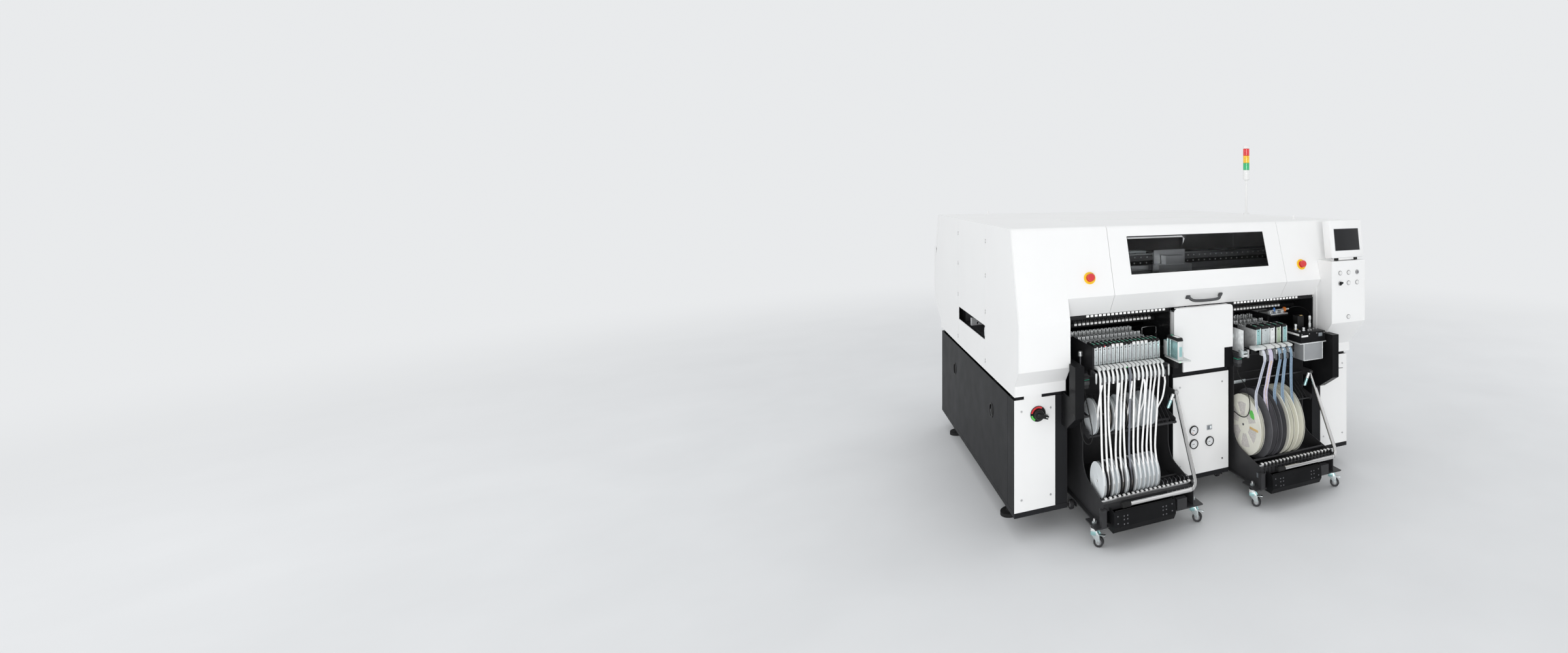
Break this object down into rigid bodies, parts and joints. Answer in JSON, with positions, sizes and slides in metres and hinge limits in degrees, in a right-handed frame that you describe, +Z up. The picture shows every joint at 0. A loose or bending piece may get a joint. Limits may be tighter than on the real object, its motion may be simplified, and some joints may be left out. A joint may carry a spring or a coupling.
{
  "type": "pick and place machine",
  "caption": "Floor-standing component placement machine with a white hood, dark base, hinged windowed front door and docked feeder carts with reels, tapes and pull handles.",
  "frame": {"origin": "on the floor under the middle of the whole machine's box", "axes": "+X to the operator's right, +Y from the front to the back, +Z up"},
  "size_m": [2.117, 2.455, 2.014],
  "materials": {
    "white_paint": "satin white powder coat",
    "dark_paint": "satin charcoal powder coat",
    "black_paint": "fine textured black powder coat",
    "casting": "painted casting with machined faces",
    "black_plastic": "moulded black plastic",
    "white_plastic": "moulded white plastic",
    "fittings": "bezels, collars and gauges in mixed finishes",
    "tinted_window": "dark tinted polycarbonate",
    "red_plastic": "moulded red plastic",
    "button_plastic": "moulded caps",
    "aluminium": "machined and clear anodised",
    "steel": "bright zinc plate",
    "chrome": "bright chrome on bent tube",
    "reel_plastic": "moulded polystyrene",
    "tape": "paper and embossed carrier tape",
    "rubber": "dark grey tyre",
    "cable_sheath": "soft black sheath"
  },
  "bodies": {
    "machine": {"base_frame": "dark_paint", "side_panels": "dark_paint", "front_panels": "white_paint", "levelling_feet": "black_plastic", "side_covers": "white_paint", "corner_covers": "white_paint", "top_cover": "white_paint", "rear_cover": "white_paint", "bay_guards": "black_paint", "gantry_bed": "casting", "conveyor_fixed_rail": "aluminium", "operator_console": "white_paint", "panel_fittings": "fittings", "signal_tower": "white_plastic", "cover_screws": "steel", "control_unit": "dark_paint"},
    "door": {"front_door": "white_paint", "door_window": "tinted_window", "door_handle": "black_plastic"},
    "beam": {"x_beam": "casting"},
    "head": {"placement_head": "aluminium"},
    "nozzles": {"nozzle_row": "steel"},
    "board_rail": {"conveyor_moving_rail": "aluminium"},
    "display": {"touch_panel": "white_plastic"},
    "stop_left": {"estop_left": "red_plastic"},
    "stop_right": {"estop_right": "red_plastic"},
    "main_switch": {"main_switch_knob": "black_plastic"},
    "selector": {"selector_knob": "black_plastic"},
    "left_cart": {"cart_left": "black_paint", "feeders_left": "aluminium", "tapes_left": "tape", "cable_left": "cable_sheath"},
    "right_cart": {"cart_right": "black_paint", "feeders_right": "aluminium", "tapes_right": "tape", "cable_right": "cable_sheath"},
    "sliding_feeder": {"drawn_feeder": "aluminium"},
    "lower_reels": {"reels_left_lower": "reel_plastic"},
    "upper_reels": {"reels_left_upper": "reel_plastic"},
    "large_reels": {"reels_right": "reel_plastic"},
    "left_pull": {"handle_left": "chrome"},
    "right_pull": {"handle_right": "chrome"},
    "left_waste": {"waste_box_left": "black_paint"},
    "right_waste": {"waste_box_right": "black_paint"},
    "left_rear_wheels": {"rear_wheels_left": "rubber"},
    "right_rear_wheels": {"rear_wheels_right": "rubber"},
    "button_upper_left": {"button_upper_left": "button_plastic"},
    "button_upper_mid": {"button_upper_mid": "button_plastic"},
    "button_upper_right": {"button_upper_right": "button_plastic"},
    "button_lower_mid": {"button_lower_mid": "button_plastic"},
    "button_lower_right": {"button_lower_right": "button_plastic"},
    "button_single": {"button_single": "button_plastic"},
    "fork_1": {"caster_fork_1": "steel"},
    "wheel_1": {"caster_wheel_1": "rubber"},
    "fork_2": {"caster_fork_2": "steel"},
    "wheel_2": {"caster_wheel_2": "rubber"},
    "fork_3": {"caster_fork_3": "steel"},
    "wheel_3": {"caster_wheel_3": "rubber"},
    "fork_4": {"caster_fork_4": "steel"},
    "wheel_4": {"caster_wheel_4": "rubber"}
  },
  "joints": [
    {"name": "door_hinge", "type": "hinge", "parent": "machine", "child": "door", "pos_m": [0, -0.1435, 1.486], "axis": [-1, 0, 0], "range_deg": [0, 55]},
    {"name": "beam_travel", "type": "slide", "parent": "machine", "child": "beam", "axis": [0, 1, 0], "range_m": [-0.05, 0.85]},
    {"name": "head_travel", "type": "slide", "parent": "beam", "child": "head", "axis": [1, 0, 0], "range_m": [-0.7, 0.7]},
    {"name": "nozzle_stroke", "type": "slide", "parent": "head", "child": "nozzles", "axis": [0, 0, -1], "range_m": [0, 0.025], "stiffness_N_per_m": 600, "springref_m": -0.03},
    {"name": "rail_width", "type": "slide", "parent": "machine", "child": "board_rail", "axis": [0, 1, 0], "range_m": [-0.25, 0.2]},
    {"name": "display_tilt", "type": "hinge", "parent": "machine", "child": "display", "pos_m": [0.92, -1.0125, 1.283], "axis": [1, 0, 0], "range_deg": [-10, 10]},
    {"name": "stop_left_press", "type": "slide", "parent": "machine", "child": "stop_left", "axis": [0, 0.9528, -0.3037], "range_m": [0, 0.005], "stiffness_N_per_m": 1500},
    {"name": "stop_right_press", "type": "slide", "parent": "machine", "child": "stop_right", "axis": [0, 0.9528, -0.3037], "range_m": [0, 0.005], "stiffness_N_per_m": 1500},
    {"name": "main_switch_turn", "type": "hinge", "parent": "machine", "child": "main_switch", "pos_m": [-0.933, -0.8975, 0.596], "axis": [0, 1, 0], "range_deg": [0, 90]},
    {"name": "selector_turn", "type": "hinge", "parent": "machine", "child": "selector", "pos_m": [0.862, -1.0475, 1.137], "axis": [0, 1, 0], "range_deg": [0, 70]},
    {"name": "left_cart_undock", "type": "slide", "parent": "machine", "child": "left_cart", "axis": [0, -1, 0], "range_m": [0, 0.6]},
    {"name": "right_cart_undock", "type": "slide", "parent": "machine", "child": "right_cart", "axis": [0, -1, 0], "range_m": [0, 0.6]},
    {"name": "feeder_draw", "type": "slide", "parent": "left_cart", "child": "sliding_feeder", "axis": [0, -1, 0], "range_m": [-0.12, 0.3]},
    {"name": "lower_reels_spin", "type": "hinge", "parent": "left_cart", "child": "lower_reels", "pos_m": [-0.455, -1.0475, 0.276], "axis": [1, 0, 0], "continuous": true},
    {"name": "upper_reels_spin", "type": "hinge", "parent": "left_cart", "child": "upper_reels", "pos_m": [-0.455, -0.9575, 0.562], "axis": [1, 0, 0], "continuous": true},
    {"name": "large_reels_spin", "type": "hinge", "parent": "right_cart", "child": "large_reels", "pos_m": [0.455, -0.9725, 0.385], "axis": [1, 0, 0], "continuous": true},
    {"name": "button_upper_left_press", "type": "slide", "parent": "machine", "child": "button_upper_left", "axis": [0, 1, 0], "range_m": [0, 0.003], "stiffness_N_per_m": 500},
    {"name": "button_upper_mid_press", "type": "slide", "parent": "machine", "child": "button_upper_mid", "axis": [0, 1, 0], "range_m": [0, 0.003], "stiffness_N_per_m": 500},
    {"name": "button_upper_right_press", "type": "slide", "parent": "machine", "child": "button_upper_right", "axis": [0, 1, 0], "range_m": [0, 0.003], "stiffness_N_per_m": 500},
    {"name": "button_lower_mid_press", "type": "slide", "parent": "machine", "child": "button_lower_mid", "axis": [0, 1, 0], "range_m": [0, 0.003], "stiffness_N_per_m": 500},
    {"name": "button_lower_right_press", "type": "slide", "parent": "machine", "child": "button_lower_right", "axis": [0, 1, 0], "range_m": [0, 0.003], "stiffness_N_per_m": 500},
    {"name": "button_single_press", "type": "slide", "parent": "machine", "child": "button_single", "axis": [0, 1, 0], "range_m": [0, 0.003], "stiffness_N_per_m": 500},
    {"name": "left_pull_lift", "type": "hinge", "parent": "left_cart", "child": "left_pull", "pos_m": [-0.191, -0.9475, 0.612], "axis": [-1, 0, 0], "range_deg": [0, 60]},
    {"name": "left_waste_draw", "type": "slide", "parent": "left_cart", "child": "left_waste", "axis": [0, -1, 0], "range_m": [0, 0.3]},
    {"name": "left_rear_wheels_spin", "type": "hinge", "parent": "left_cart", "child": "left_rear_wheels", "pos_m": [-0.455, -0.7075, 0.025], "axis": [1, 0, 0], "continuous": true},
    {"name": "right_pull_lift", "type": "hinge", "parent": "right_cart", "child": "right_pull", "pos_m": [0.719, -0.9475, 0.612], "axis": [-1, 0, 0], "range_deg": [0, 60]},
    {"name": "right_waste_draw", "type": "slide", "parent": "right_cart", "child": "right_waste", "axis": [0, -1, 0], "range_m": [0, 0.3]},
    {"name": "right_rear_wheels_spin", "type": "hinge", "parent": "right_cart", "child": "right_rear_wheels", "pos_m": [0.455, -0.7075, 0.025], "axis": [1, 0, 0], "continuous": true},
    {"name": "fork_1_swivel", "type": "hinge", "parent": "left_cart", "child": "fork_1", "pos_m": [-0.726, -1.1195, 0.085], "axis": [0, 0, 1], "continuous": true},
    {"name": "wheel_1_spin", "type": "hinge", "parent": "fork_1", "child": "wheel_1", "pos_m": [-0.71, -1.1335, 0.025], "axis": [0.6585, 0.7526, 0], "continuous": true},
    {"name": "fork_2_swivel", "type": "hinge", "parent": "left_cart", "child": "fork_2", "pos_m": [-0.184, -1.1195, 0.085], "axis": [0, 0, 1], "continuous": true},
    {"name": "wheel_2_spin", "type": "hinge", "parent": "fork_2", "child": "wheel_2", "pos_m": [-0.168, -1.1335, 0.025], "axis": [0.6585, 0.7526, 0], "continuous": true},
    {"name": "fork_3_swivel", "type": "hinge", "parent": "right_cart", "child": "fork_3", "pos_m": [0.184, -1.1195, 0.085], "axis": [0, 0, 1], "continuous": true},
    {"name": "wheel_3_spin", "type": "hinge", "parent": "fork_3", "child": "wheel_3", "pos_m": [0.2, -1.1335, 0.025], "axis": [0.6585, 0.7526, 0], "continuous": true},
    {"name": "fork_4_swivel", "type": "hinge", "parent": "right_cart", "child": "fork_4", "pos_m": [0.726, -1.1195, 0.085], "axis": [0, 0, 1], "continuous": true},
    {"name": "wheel_4_spin", "type": "hinge", "parent": "fork_4", "child": "wheel_4", "pos_m": [0.742, -1.1335, 0.025], "axis": [0.6585, 0.7526, 0], "continuous": true}
  ]
}
